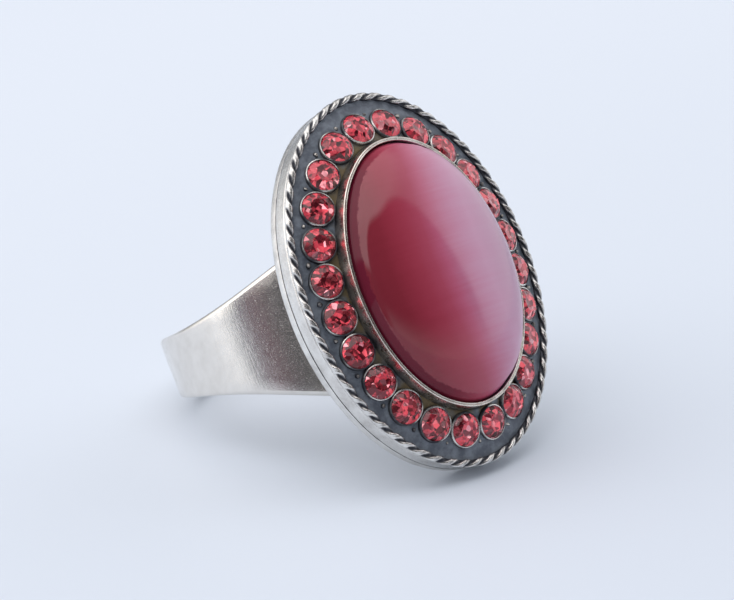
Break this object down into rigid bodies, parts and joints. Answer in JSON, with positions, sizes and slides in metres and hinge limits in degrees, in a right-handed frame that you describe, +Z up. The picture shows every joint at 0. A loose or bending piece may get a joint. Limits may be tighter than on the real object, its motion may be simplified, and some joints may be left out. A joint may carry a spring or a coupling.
{
  "type": "cocktail ring",
  "caption": "Finger ring with a large oval head: a domed cat's-eye cabochon in a bezel, a halo of small round stones, a twisted-wire border and a flat band that flares towards the head.",
  "frame": {"origin": "middle of the resting ring's outline, on the surface it rests on", "axes": "+Z up, +X across the head and across the finger, -Y the way the cabochon faces; the ring lies on the head's lower tip and the back of the band"},
  "size_m": [0.0204, 0.028, 0.0233],
  "materials": {
    "silver": "antiqued silver plate, satin with fine scratches and tarnish in the corners",
    "bright_silver": "polished silver plate, burnished round the cabochon",
    "dark_silver": "oxidised blue-black recess with worn bright collets and grains",
    "solder": "dull grey soft solder",
    "cement": "dull set cement",
    "cat_eye_glass": "polished fibre-optic glass, deep red with a pale lilac sheen",
    "red_stone": "faceted coral-red glass with a foiled back"
  },
  "bodies": {
    "root": {"band": "silver", "solder_joint": "solder", "back_plate": "silver", "head_tray": "dark_silver", "rope_border": "silver", "bezel_cup": "bright_silver", "cabochon_cement": "cement", "cabochon": "cat_eye_glass", "stone_01": "red_stone", "stone_02": "red_stone", "stone_03": "red_stone", "stone_04": "red_stone", "stone_05": "red_stone", "stone_06": "red_stone", "stone_07": "red_stone", "stone_08": "red_stone", "stone_09": "red_stone", "stone_10": "red_stone", "stone_11": "red_stone", "stone_12": "red_stone", "stone_13": "red_stone", "stone_14": "red_stone", "stone_15": "red_stone", "stone_16": "red_stone", "stone_17": "red_stone", "stone_18": "red_stone", "stone_19": "red_stone", "stone_20": "red_stone", "stone_21": "red_stone", "stone_22": "red_stone", "stone_23": "red_stone", "stone_24": "red_stone"}
  },
  "joints": []
}
